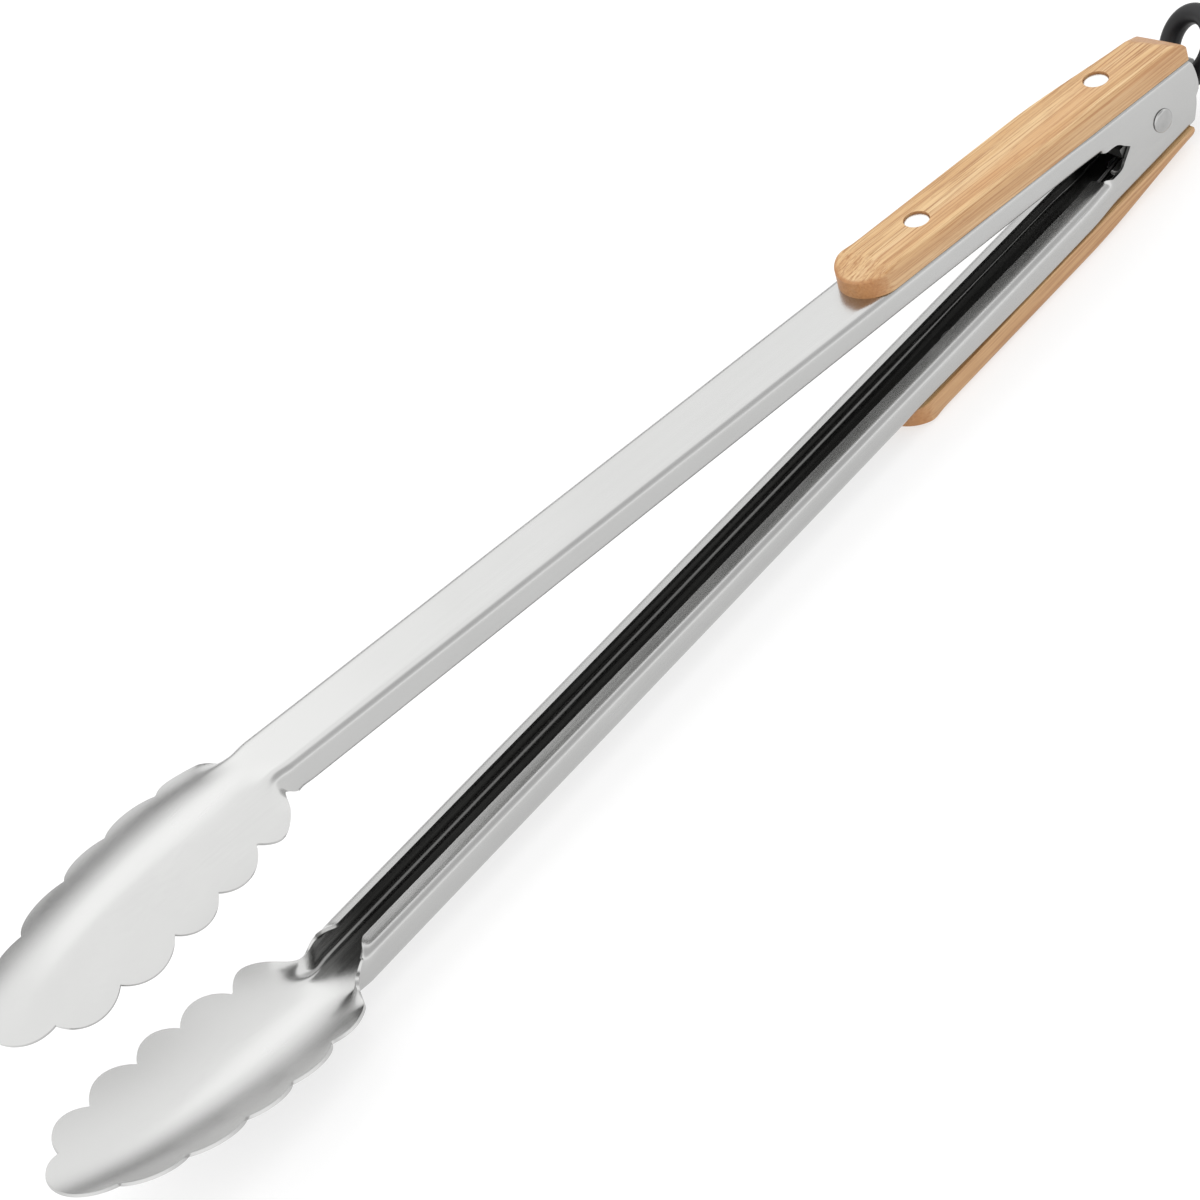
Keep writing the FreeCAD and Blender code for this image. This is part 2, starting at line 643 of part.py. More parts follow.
def make_spring():
    """Torsion spring, one wire: a leg along the inside of each arm, and the coil between them.

    Each leg carries on in the direction in which the wire leaves the coil, so the wire has no
    kink, and the legs drift apart along the pin as they reach forward.
    """
    wire = size("wire_radius")
    radius = size("coil_radius")
    pitch = size("coil_pitch")
    reach = size("leg_reach")
    bearing = size("pin_to_web") - size("gauge") - wire - size("leg_gap")
    opening = math.radians(size("opening"))
    distance = math.hypot(reach, bearing)
    leg_angle = math.atan2(bearing, reach)
    tangent = math.acos(radius / distance)
    low_angle = -(leg_angle + tangent)
    high_angle = leg_angle + tangent + opening
    turns = size("coil_turns") + 1 - (high_angle - low_angle) / (2 * math.pi)
    start = size("coil_start")
    drift = math.sqrt(distance ** 2 - radius ** 2) * pitch / (2 * math.pi * radius)

    def polar(length, angle, y):
        return Vec(length * math.cos(angle), y, length * math.sin(angle))

    coil = Part.makeHelix(pitch, pitch * turns, radius)
    # The helix climbs along the pin and turns clockwise seen from the -Y side.
    coil.rotate(Vec(0, 0, 0), X_AXIS, -90)
    coil.rotate(Vec(0, 0, 0), Y_AXIS, -math.degrees(low_angle))
    coil.translate(Vec(0, start, 0))
    begins = polar(radius, low_angle, start)
    ends = polar(radius, low_angle - 2 * math.pi * turns, start + pitch * turns)
    low_tip = polar(distance, -leg_angle, begins.y - drift)
    high_tip = polar(distance, leg_angle + opening, ends.y + drift)
    legs = Part.makeLine(low_tip, begins), Part.makeLine(ends, high_tip)
    path = Part.Wire([legs[0], *coil.Edges, legs[1]])
    section = Part.Wire(Part.makeCircle(wire, low_tip, begins - low_tip))
    shape = path.makePipeShell([section], True, True)
    if abs(shape.Volume / (math.pi * wire * wire * path.Length) - 1) > 0.01:
        raise RuntimeError("the swept wire has the wrong volume")
    feature = DOC.addObject("Part::Feature", "torsion_spring")
    feature.Shape = shape
    feature.Placement = AT_PIN
    return keep(feature, "torsion_spring")


# --- lock -----------------------------------------------------------------------------------

def make_slider():
    """Slider plate in the middle plane: slot round the spacer, eye for the ring, wings."""
    body = make_body("lock_slider", AT_PIN)
    plate = make_sketch(body, "XZ_Plane", "slider_outline")
    slot_half = "sizes.spacer_radius + sizes.slider_gap"
    nose = "sizes.slider_travel + sizes.spacer_radius + sizes.slider_gap + sizes.slider_bridge"
    eye_back = "sizes.eye_x - sizes.eye_radius - sizes.eye_rim"
    polygon(plate, (
        (nose, "sizes.slider_half_height - sizes.slider_corner"),
        ("sizes.slider_travel", "sizes.slider_half_height"),
        ("-sizes.spacer_radius - 1", "sizes.slider_half_height"),
        ("sizes.eye_x + sizes.slider_corner", "sizes.eye_z + sizes.eye_radius + sizes.eye_rim"),
        ("sizes.eye_x - sizes.slider_corner", "sizes.eye_z + sizes.eye_radius + sizes.eye_rim"),
        (eye_back, "sizes.eye_z + sizes.slider_corner"),
        (eye_back, "sizes.eye_z - sizes.slider_corner"),
        ("sizes.eye_x - sizes.slider_corner", "sizes.eye_z - sizes.eye_radius - sizes.eye_rim"),
        ("sizes.eye_x + sizes.slider_corner", "sizes.eye_z - sizes.eye_radius - sizes.eye_rim"),
        ("-sizes.spacer_radius - 1", "-sizes.slider_half_height"),
        ("sizes.slider_travel", "-sizes.slider_half_height"),
        (nose, "sizes.slider_corner - sizes.slider_half_height"),
    ))
    make_pad(body, plate, "2 * sizes.slider_half_thick", True)

    wings = make_sketch(body, "XZ_Plane", "slider_wings")
    polygon(wings, (
        (f"{nose} + sizes.wing_length", "sizes.wing_half_height"),
        (f"{nose} - 0.5", "sizes.wing_half_height"),
        (f"{nose} - 0.5", "-sizes.wing_half_height"),
        (f"{nose} + sizes.wing_length", "-sizes.wing_half_height"),
    ))
    make_pad(body, wings, "2 * sizes.wing_half_span", True)

    slot = make_sketch(body, "XZ_Plane", "slider_slot")
    circle(slot, slot_half)
    make_pocket(body, slot)
    slot_end = make_sketch(body, "XZ_Plane", "slider_slot_end")
    circle(slot_end, slot_half, "sizes.slider_travel")
    make_pocket(body, slot_end)
    slot_middle = make_sketch(body, "XZ_Plane", "slider_slot_middle")
    polygon(slot_middle, (
        ("0", slot_half),
        ("sizes.slider_travel", slot_half),
        ("sizes.slider_travel", f"-({slot_half})"),
        ("0", f"-({slot_half})"),
    ))
    make_pocket(body, slot_middle)

    eye = make_sketch(body, "XZ_Plane", "slider_eye")
    circle(eye, "sizes.eye_radius", "sizes.eye_x", "sizes.eye_z")
    make_pocket(body, eye)
    return body


def make_ring():
    """Pull ring through the slider's eye, leaning back and slightly twisted."""
    ring = DOC.addObject("Part::Torus", "pull_ring")
    ring.setExpression("Radius1", "sizes.ring_radius")
    ring.setExpression("Radius2", "sizes.ring_section")
    tilt = math.radians(size("ring_tilt"))
    away = Vec(-math.cos(tilt), 0, math.sin(tilt)) * size("ring_radius")
    centre = Vec(size("eye_x"), 0, size("eye_z") + PIN_HEIGHT) + away
    lean = FreeCAD.Rotation(Y_AXIS, size("ring_tilt"))
    twist = FreeCAD.Rotation(away, size("ring_twist"))
    ring.Placement = FreeCAD.Placement(centre, twist.multiply(lean))
    return keep(ring, "pull_ring")


# --- the assembly ---------------------------------------------------------------------------

def make_all():
    make_arm("upper_arm", UPPER, size("upper_ear_half"), upper_ear_outline(),
             "sizes.pin_radius + sizes.pin_gap")
    make_arm("lower_arm", LOWER, size("lower_ear_half"), lower_ear_outline(),
             "sizes.pin_radius")
    make_scale("upper_handle_scale", UPPER, "0")
    make_scale("lower_handle_scale", LOWER, "sizes.lower_scale_cut")
    for side, arm in (("upper", UPPER), ("lower", LOWER)):
        for place, x in zip(("rear", "front"), rivet_stations()):
            make_rivet(f"{side}_{place}_rivet", arm, x)
    make_pin()
    make_tube("pivot_spacer", "sizes.spacer_radius", "sizes.pin_radius",
              "2 * (sizes.lower_ear_half - sizes.gauge)", "sizes.lower_ear_half - sizes.gauge")
    make_tube("pivot_washer", "sizes.washer_radius", "sizes.pin_radius",
              "sizes.washer_thick", "-sizes.upper_ear_half - sizes.side_gap")
    make_spring()
    make_slider()
    make_ring()


def check_and_write():
    DOC.recompute()
    for obj in DOC.Objects:
        if "Invalid" in obj.State or "Error" in obj.State:
            raise RuntimeError(f"{obj.Name} failed: {obj.State}")
    os.makedirs("parts", exist_ok=True)
    for obj in SUBPARTS:
        shape = obj.Shape
        if shape.isNull() or not shape.isValid():
            raise RuntimeError(f"{obj.Label} has no valid shape")
        shape.exportStep(f"parts/{obj.Label}.step")
        print(f"{obj.Label:26s} solids {len(shape.Solids)} volume {shape.Volume:9.1f} mm3")


make_all()
check_and_write()
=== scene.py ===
"""Looks of the spring loaded kitchen tongs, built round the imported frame.

Lengths are written in millimetres in this file and turned into metres when a mesh is made.
Arm frame: origin on the hinge pin, +X towards the spoon, +Z outwards, away from the other arm.
"""

import json
import math

import bmesh
import bpy
import numpy as np
from mathutils import Matrix, Vector


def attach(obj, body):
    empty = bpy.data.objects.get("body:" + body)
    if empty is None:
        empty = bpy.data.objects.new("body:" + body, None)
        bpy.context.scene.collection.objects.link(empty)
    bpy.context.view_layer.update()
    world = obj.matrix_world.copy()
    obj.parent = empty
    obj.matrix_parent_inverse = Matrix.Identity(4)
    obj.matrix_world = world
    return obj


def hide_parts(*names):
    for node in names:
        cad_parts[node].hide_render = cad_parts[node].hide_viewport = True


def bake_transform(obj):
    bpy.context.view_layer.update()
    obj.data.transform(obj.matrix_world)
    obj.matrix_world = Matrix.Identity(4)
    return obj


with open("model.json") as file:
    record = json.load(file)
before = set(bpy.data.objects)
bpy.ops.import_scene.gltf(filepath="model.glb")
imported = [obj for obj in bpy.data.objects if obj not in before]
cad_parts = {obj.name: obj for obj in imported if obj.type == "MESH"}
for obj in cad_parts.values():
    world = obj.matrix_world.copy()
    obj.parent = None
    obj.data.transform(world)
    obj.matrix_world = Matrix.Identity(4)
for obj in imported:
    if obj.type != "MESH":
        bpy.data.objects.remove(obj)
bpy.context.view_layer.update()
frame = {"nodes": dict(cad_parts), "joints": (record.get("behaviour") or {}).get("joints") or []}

MM = 0.001
JOINTS = {joint["name"]: joint for joint in frame["joints"]}
PIN_HEIGHT = JOINTS["jaw_hinge"]["pos_m"][2] / MM
AT_PIN = Matrix.Translation((0, 0, PIN_HEIGHT * MM))
ALONG_PIN = AT_PIN @ Matrix.Rotation(-math.pi / 2, 4, "X")
OPENING = math.radians(9.74)
UPPER = AT_PIN @ Matrix.Rotation(-OPENING, 4, "Y")
LOWER = AT_PIN @ Matrix.Rotation(math.pi, 4, "X")

# Pressed arms: sheet thickness, and the outer face's distance from the pin.
GAUGE = 0.9
WEB = 10.64
# The web's bends are tight at the hinge and grow along the grips' front halves to BEND, which
# the lips have all along.
BEND = 2.75
GRIP_BEND = 1.5
BEND_GROWTH_START = 55.0
BEND_GROWTH = 50.0
# Half widths across the ears, after the joggle and at the neck.
UPPER_EAR_HALF = 9.45
LOWER_EAR_HALF = 8.4
HALF_JOGGLE = 9.05
HALF_NECK = 9.5
JOGGLE_END = 32.0
NECK = 321.0
# Flanges and the lips folded in from them.
FLANGE_START = 7.5
FLANGE_NECK = 9.7
CHANNEL_MIDDLE = 5.5
LIP_START = 20.5
LIP_REACH = 2.86
LIP_FOLD = math.radians(75)
FOLD_LENGTH = 2.0
# Towards the neck the lips fade out and open, and the flanges' free edges rise.
LIP_END = 319.0
LIP_FADE = 5.5
LIP_LEFT = 0.2
UNFOLD_START = 313.5
UNFOLD_LENGTH = 9.0
NECK_RISE = 1.8
# Spoons: drop of the tip below the web, and the hollow across.
TIP = 419.5
SPOON_DIP = 20.2
SPOON_BOW = 2.2
SPOON_DISH = 0.0697
DISH_CORE = 9.0
NECK_DISH = 0.5
NECK_DISH_PLACE = 331.0
NECK_DISH_LENGTH = 8.0

# Grip scales, and the rivets' places along the arms.
SCALE_REAR = -13.5
SCALE_LENGTH = 121.0
SCALE_HALF = 9.0
SCALE_THICK = 6.52
LOWER_SCALE_CUT = 4.7
RIVETS = (11.2, 80.0)


# --- helpers --------------------------------------------------------------------------------

def smooth(value):
    value = np.clip(value, 0.0, 1.0)
    return value * value * (3 - 2 * value)


def new_object(name, vertices, faces, matrix=Matrix.Identity(4)):
    """A smooth shaded mesh object from vertices in millimetres, moved into the row frame."""
    mesh = bpy.data.meshes.new(name)
    mesh.from_pydata([tuple(float(c) * MM for c in v) for v in vertices], [], faces)
    mesh.transform(matrix)
    mesh.update()
    for polygon in mesh.polygons:
        polygon.use_smooth = True
    obj = bpy.data.objects.new(name, mesh)
    bpy.context.scene.collection.objects.link(obj)
    return obj


def bevel(obj, width, segments=2, angle=50.0):
    modifier = obj.modifiers.new("edges", "BEVEL")
    modifier.width = width * MM
    modifier.segments = segments
    modifier.limit_method = "ANGLE"
    modifier.angle_limit = math.radians(angle)
    modifier.harden_normals = True


def lathe(name, profile, matrix, steps):
    """A solid turned about the local Z axis; profile is (radius, height) from axis to axis."""
    vertices, faces, rings = [], [], []
    for radius, height in profile:
        if radius < 1e-6:
            rings.append([len(vertices)])
            vertices.append((0, 0, height))
            continue
        rings.append(list(range(len(vertices), len(vertices) + steps)))
        for k in range(steps):
            a = 2 * math.pi * k / steps
            vertices.append((radius * math.cos(a), radius * math.sin(a), height))
    for low, high in zip(rings, rings[1:]):
        for k in range(steps):
            n = (k + 1) % steps
            if len(low) == 1:
                faces.append((low[0], high[k], high[n]))
            elif len(high) == 1:
                faces.append((low[k], high[0], low[n]))
            else:
                faces.append((low[k], high[k], high[n], low[n]))
    obj = new_object(name, vertices, faces, matrix)
    tidy_normals(obj)
    return obj


def tidy_normals(obj):
    work = bmesh.new()
    work.from_mesh(obj.data)
    bmesh.ops.remove_doubles(work, verts=work.verts, dist=1e-7)
    bmesh.ops.recalc_face_normals(work, faces=work.faces)
    work.to_mesh(obj.data)
    work.free()


def rounded(points, radius, steps=4):
    """A polyline with its inner corners rounded off."""
    result = [points[0]]
    for before, corner, after in zip(points, points[1:], points[2:]):
        a, c, b = (np.array(p, float) for p in (before, corner, after))
        r = min(radius, np.linalg.norm(a - c) / 2, np.linalg.norm(b - c) / 2)
        start = c + (a - c) / np.linalg.norm(a - c) * r
        end = c + (b - c) / np.linalg.norm(b - c) * r
        for k in range(steps + 1):
            t = k / steps
            result.append(tuple((1 - t) ** 2 * start + 2 * t * (1 - t) * c + t * t * end))
    result.append(points[-1])
    return result


# --- pressed arms ---------------------------------------------------------------------------

WEB_COLUMNS = 9
BEND_COLUMNS = 8
FLANGE_COLUMNS = 5
LIP_BEND_COLUMNS = 7
LIP_COLUMNS = 3
SHEET_COLUMNS = WEB_COLUMNS + BEND_COLUMNS + FLANGE_COLUMNS + LIP_BEND_COLUMNS

# Scalloped outline of a spoon: (x, half width).
FIRST_LOBE = ((321.0, 9.5), (323.4, 10.6), (325.8, 13.4), (328.6, 16.8), (332.6, 20.0),
              (337.0, 21.2), (340.4, 19.8), (342.3, 18.2))
NOTCHES = ((342.3, 18.2), (358.6, 20.6), (374.0, 20.1), (392.0, 18.0), (409.0, 11.2))
CRESTS = ((351.5, 23.4), (367.0, 24.0), (383.5, 23.2), (401.5, 19.2))


def circle_through(a, b, c):
    """Centre and radius of the circle through three points."""
    (ax, ay), (bx, by), (cx, cy) = a, b, c
    d = 2 * (ax * (by - cy) + bx * (cy - ay) + cx * (ay - by))
    sa, sb, sc = ax * ax + ay * ay, bx * bx + by * by, cx * cx + cy * cy
    ux = (sa * (by - cy) + sb * (cy - ay) + sc * (ay - by)) / d
    uy = (sa * (cx - bx) + sb * (ax - cx) + sc * (bx - ax)) / d
    return ux, uy, math.hypot(ax - ux, ay - uy)


def cubic(points, x):
    """Smooth curve through points, by Catmull-Rom tangents."""
    xs, ys = np.array(points, float).T
    slopes = np.gradient(ys, xs)
    k = int(np.clip(np.searchsorted(xs, x) - 1, 0, len(xs) - 2))
    h = xs[k + 1] - xs[k]
    t = (x - xs[k]) / h
    return ((1 + 2 * t) * (1 - t) ** 2 * ys[k] + t * (1 - t) ** 2 * h * slopes[k]
            + t * t * (3 - 2 * t) * ys[k + 1] + t * t * (t - 1) * h * slopes[k + 1])


def spoon_half_width(x):
    if x <= NOTCHES[0][0]:
        return cubic(FIRST_LOBE, x)
    for before, crest, after in zip(NOTCHES, CRESTS, NOTCHES[1:]):
        if x <= after[0]:
            cx, cy, r = circle_through(before, crest, after)
            return cy + math.sqrt(max(0.0, r * r - (x - cx) ** 2))
    last = NOTCHES[-1]
    cx, cy, r = circle_through(last, (TIP, 0.0), (last[0], -last[1]))
    return math.sqrt(max(0.0, r * r - (x - cx) ** 2))


def spoon_height(x, y):
    along = np.maximum(0.0, x - NECK) / (TIP - NECK)
    near_neck = np.exp(-((x - NECK_DISH_PLACE) / NECK_DISH_LENGTH) ** 2)
    neck_dish = NECK_DISH * near_neck * (y / 20.0) ** 2
    dish = SPOON_DISH * ((y * y + DISH_CORE ** 2) ** 0.75 - DISH_CORE ** 1.5)
    return WEB - SPOON_DIP * along ** SPOON_BOW - dish - neck_dish


def half_width(x, ear_half):
    grow = HALF_JOGGLE + (HALF_NECK - HALF_JOGGLE) * (x - JOGGLE_END) / (NECK - JOGGLE_END)
    blend = smooth((x - LIP_START) / (JOGGLE_END - LIP_START))
    return ear_half + (grow - ear_half) * blend


def flange_height(x):
    share = (x - LIP_START) / (NECK - LIP_START)
    rise = NECK_RISE * smooth((x - UNFOLD_START) / UNFOLD_LENGTH)
    return FLANGE_START + (FLANGE_NECK - FLANGE_START) * share - rise


def web_bend(x):
    return GRIP_BEND + (BEND - GRIP_BEND) * smooth((x - BEND_GROWTH_START) / BEND_GROWTH)


def lip_fold(x):
    """How far the lips are folded in: all the way, until they open where the spoon starts."""
    return 1 - smooth((x - UNFOLD_START) / UNFOLD_LENGTH)


def lip_reach(x):
    return LIP_REACH * (1 - (1 - LIP_LEFT) * smooth((x - LIP_END + LIP_FADE) / LIP_FADE))


def section(x, half, fold, lip=0.0):
    """Half of the arm's outer face across x: (y, z) from the middle to the lip's free edge."""
    foot = WEB - flange_height(x)
    bend = web_bend(x)
    points = [(y, WEB) for y in np.linspace(0, half - bend, WEB_COLUMNS + 1)]
    for a in np.linspace(0, math.pi / 2, BEND_COLUMNS + 1)[1:]:
        points.append((half - bend + bend * math.sin(a), WEB - bend + bend * math.cos(a)))
    corner = foot + BEND
    for z in np.linspace(WEB - bend, corner, FLANGE_COLUMNS + 1)[1:]:
        points.append((half, z))
    turn = max(1e-3, LIP_FOLD * fold)
    length = BEND + (LIP_FOLD - 1) * BEND * fold
    radius = length / turn
    for a in np.linspace(0, turn, LIP_BEND_COLUMNS + 1)[1:]:
        points.append((half - radius * (1 - math.cos(a)), corner - radius * math.sin(a)))
    if lip:
        y, z = points[-1]
        for k in range(1, LIP_COLUMNS + 1):
            run = lip * k / LIP_COLUMNS
            points.append((y - run * math.sin(turn), z - run * math.cos(turn)))
    return points


def lengths_along(points):
    """Distance from a polyline's start to each of its points."""
    steps = np.linalg.norm(np.diff(points, axis=0), axis=1)
    return np.concatenate([[0], np.cumsum(steps)])


def curve_points(anchors, count):
    """count + 1 points evenly along a smooth curve through anchors."""
    anchors = np.array(anchors, float)
    along = lengths_along(anchors)
    fine = np.linspace(0, along[-1], 400)
    path = np.array([
        [cubic(np.stack([along, anchors[:, k]], 1), s) for k in range(2)] for s in fine
    ])
    travelled = lengths_along(path)
    wanted = np.linspace(0, travelled[-1], count + 1)
    return np.stack([np.interp(wanted, travelled, path[:, k]) for k in range(2)], 1)


EAR_ROWS = 44
REAR_STEPS = 200
REAR_BEND_SETBACK = 0.9


def ear_rows(ear_half, rear, bottom):
    """Rows of (x, y, z) across the hinge end, from its rear edge to where the lips start."""
    steps = section(LIP_START, ear_half, 0.0)
    top = WEB - GRIP_BEND
    foot = WEB - flange_height(LIP_START)
    flat = [k for k, (_, z) in enumerate(steps) if k >= WEB_COLUMNS + BEND_COLUMNS]
    share = {k: (top - steps[k][1]) / (top - foot) for k in flat}
    rear_curve = curve_points(rear, REAR_STEPS)
    bottom_curve = curve_points(bottom, EAR_ROWS)
    rear_top = rear_curve[0]

    rows = []
    for i in range(EAR_ROWS + 1):
        u = i / EAR_ROWS
        row = []
        for k, (y, z) in enumerate(steps):
            if k in share:
                v = share[k]
                left = rear_curve[int(round(v * REAR_STEPS))]
                on_top = np.array([rear_top[0] + (LIP_START - rear_top[0]) * u, top])
                right = np.array([LIP_START, top + (foot - top) * v])
                corners = ((1 - u) * (1 - v) * rear_top + u * (1 - v) * np.array([LIP_START, top])
                           + (1 - u) * v * bottom_curve[0] + u * v * bottom_curve[-1])
                spot = ((1 - v) * on_top + v * bottom_curve[i]
                        + (1 - u) * left + u * right - corners)
                row.append((spot[0], y, spot[1]))
            else:
                x_rear = rear_top[0] + REAR_BEND_SETBACK * (z - top) / GRIP_BEND
                row.append((x_rear + (LIP_START - x_rear) * u, y, z))
        rows.append(row)
    return rows


FOLD_STEPS = (0.4, 0.8, 1.2, 1.6)
FIRST_LIP_STEPS = (0.0, 0.7, 1.5, 2.5, 4.0, 6.0, 8.0, 9.7, 12.5, 17.0)
LIP_CORNER = 1.4
LIP_CORNER_LENGTH = 5.0
SECTION_END = 330.0
OPENING_START = 318.5
OPENING_LENGTH = 17.0
FLANGE_LEAD = 7.5
LOBE_ROWS = 30
TIP_ROWS = 35


def arm_rows(ear_half, rear, bottom):
    """All rows of the outer face; those of the channel carry lips."""
    rows = ear_rows(ear_half, rear, bottom)
    for step in FOLD_STEPS:
        x = LIP_START + step
        fold = smooth(step / FOLD_LENGTH)
        rows.append([(x, y, z) for y, z in section(x, half_width(x, ear_half), fold)])

    # The channel: the lips' corners at the hinge end are cut back.
    first = LIP_START + FOLD_LENGTH
    stations = [first + step for step in FIRST_LIP_STEPS]
    stations += list(np.linspace(46, 302, 42))
    stations += [304.5, *np.arange(306.5, LIP_END + 0.1, 0.5)]
    for x in stations:
        half = half_width(x, ear_half)
        row = [(x, y, z) for y, z in section(x, half, lip_fold(x), lip_reach(x))]
        for k in range(SHEET_COLUMNS + 1, SHEET_COLUMNS + LIP_COLUMNS + 1):
            inward = (k - SHEET_COLUMNS) / LIP_COLUMNS
            cut_back = LIP_CORNER * inward * (1 - smooth((x - first) / LIP_CORNER_LENGTH))
            row[k] = (row[k][0] + cut_back, row[k][1], row[k][2])
        rows.append(row)

    # Neck and spoon: the channel's section opens into the spoon's, the flanges first.
    stations = list(np.arange(LIP_END + 0.4, 345.0, 0.5))
    for before, after in zip(NOTCHES[:-1], NOTCHES[1:]):
        t = (1 - np.cos(np.linspace(0, math.pi, LOBE_ROWS + 1))) / 2
        stations += [x for x in before[0] + (after[0] - before[0]) * t if x > stations[-1] + 0.05]
    t = np.sin(np.linspace(0, math.pi / 2, TIP_ROWS + 1))[1:]
    stations += list(NOTCHES[-1][0] + (TIP - 0.01 - NOTCHES[-1][0]) * t)
    for x in stations:
        x_section = min(x, SECTION_END)
        channel = section(x_section, half_width(x_section, ear_half), lip_fold(x))
        lengths = lengths_along(channel)
        share = lengths / lengths[-1]
        width = spoon_half_width(max(x, NECK))
        row = []
        for k, (y, z) in enumerate(channel):
            past_web = max(0.0, (k - WEB_COLUMNS) / (SHEET_COLUMNS - WEB_COLUMNS))
            opening = smooth((x - OPENING_START - past_web)
                             / (OPENING_LENGTH - FLANGE_LEAD * past_web))
            spoon_y = width * share[k]
            spoon_z = spoon_height(x, spoon_y)
            row.append((x, y + (spoon_y - y) * opening, z + (spoon_z - z) * opening))
        rows.append(row)
    return rows


def make_arm(name, matrix, ear_half, rear, bottom):
    """One pressed arm as a sheet, with the faint ripple of a rolled strip."""
    rows = arm_rows(ear_half, rear, bottom)
    vertices, faces, index = [], [], {}
    for i, row in enumerate(rows):
        for k, (x, y, z) in enumerate(row):
            ripple = 0.02 * math.sin(x / 17.0 + 1.3) + 0.015 * math.sin(x / 7.3 + y / 6.0)
            for side in ((1,) if k == 0 else (1, -1)):
                index[i, side * k] = len(vertices)
                vertices.append((x, side * y, z + ripple))
    for i in range(len(rows) - 1):
        reach = min(len(rows[i]), len(rows[i + 1])) - 1
        for k in range(-reach, reach):
            faces.append((index[i, k], index[i + 1, k], index[i + 1, k + 1], index[i, k + 1]))
    obj = new_object(name, vertices, faces, matrix)
    sheet = obj.modifiers.new("sheet", "SOLIDIFY")
    sheet.thickness = GAUGE * MM
    sheet.offset = -1
    sheet.use_even_offset = True
    bevel(obj, 0.12, 2, 60)
    return obj


# Outlines of the ears as (x, z): down the rear edge, then forward along the free edge.
UPPER_REAR = ((-14.0, 9.14), (-14.65, 5.8), (-14.75, 2.6), (-14.4, 1.0))
UPPER_BOTTOM = ((-14.4, 1.0), (-12.6, -0.9), (-7.0, -4.0), (-1.5, -4.85), (3.0, -4.8),
                (9.4, -2.95), (11.75, -0.8), (14.4, 1.2), (17.0, 3.0), (18.2, 3.14), (20.5, 3.14))
LOWER_REAR = ((-10.7, 9.14), (-12.9, 5.6), (-14.0, 1.7), (-14.0, -1.5))
LOWER_BOTTOM = ((-14.0, -1.5), (-11.2, -3.9), (-6.0, -4.8), (-1.0, -4.85), (3.0, -4.8),
                (9.4, -2.95), (11.75, -0.8), (14.4, 1.2), (17.0, 3.0), (18.2, 3.14), (20.5, 3.14))


# --- grip scales ----------------------------------------------------------------------------

CHAMFER = 1.3
REAR_BEVEL = 3.4
BEVEL_GROWTH = 50.0
REAR_FACET = 3.4
REAR_FACET_SKEW = 0.35
REAR_FACET_SLOPE = 0.5
RIVET_SINK = 0.6
NOSE = 9.9
NOSE_DROP = 1.7
SEAT_RADIUS = 3.5
SEAT_DEPTH = 1.05


def outline(inset, cut):
    """Plan of a grip scale, moved in from its edge: square rear end, half round front end."""
    half = SCALE_HALF - inset
    centre = SCALE_LENGTH - SCALE_HALF
    rear = cut + inset
    points = [(rear, y) for y in np.linspace(half, -half, 17)[1:-1]]
    points += [(x, -half) for x in np.linspace(rear, centre, 81)]
    points += [(centre + half * math.cos(a), half * math.sin(a))
               for a in np.linspace(-math.pi / 2, math.pi / 2, 49)[1:-1]]
    points += [(x, half) for x in np.linspace(centre, rear, 81)]
    return points


def soft_max(a, b, width):
    h = max(width - abs(a - b), 0.0) / width
    return max(a, b) + h * h * width / 4


def scale_top(x, y, inset, cut):
    """Height of the scale's outer face at a point that lies inset from its edge."""
    across = y / SCALE_HALF
    # The bevel on one side grows towards the rear end, and both fade out round the nose.
    wide = REAR_BEVEL * (1 - smooth(x / BEVEL_GROWTH)) * smooth(0.5 - across)
    fade = 1 - 0.75 * smooth((x - (SCALE_LENGTH - 13.0)) / 9.0)
    side = (CHAMFER + wide) * fade - (SCALE_HALF - abs(y)) if abs(across) > 0.3 else -9.0
    start = SCALE_LENGTH - NOSE + 1.6 * across ** 2
    nose = (x - start) * NOSE_DROP / NOSE
    rear = REAR_FACET_SLOPE * (REAR_FACET + REAR_FACET_SKEW * (SCALE_HALF - y) - x)
    rim = 0.45 * max(0.0, 1 - inset / 0.9) ** 2
    drop = soft_max(soft_max(soft_max(side, nose, 0.35), rear, 0.3), 0.0, 0.3)
    rear_rim = soft_max(0.35 - (x - cut), 0.0, 0.3)
    return SCALE_THICK - drop - 0.10 * across ** 2 - rim - rear_rim


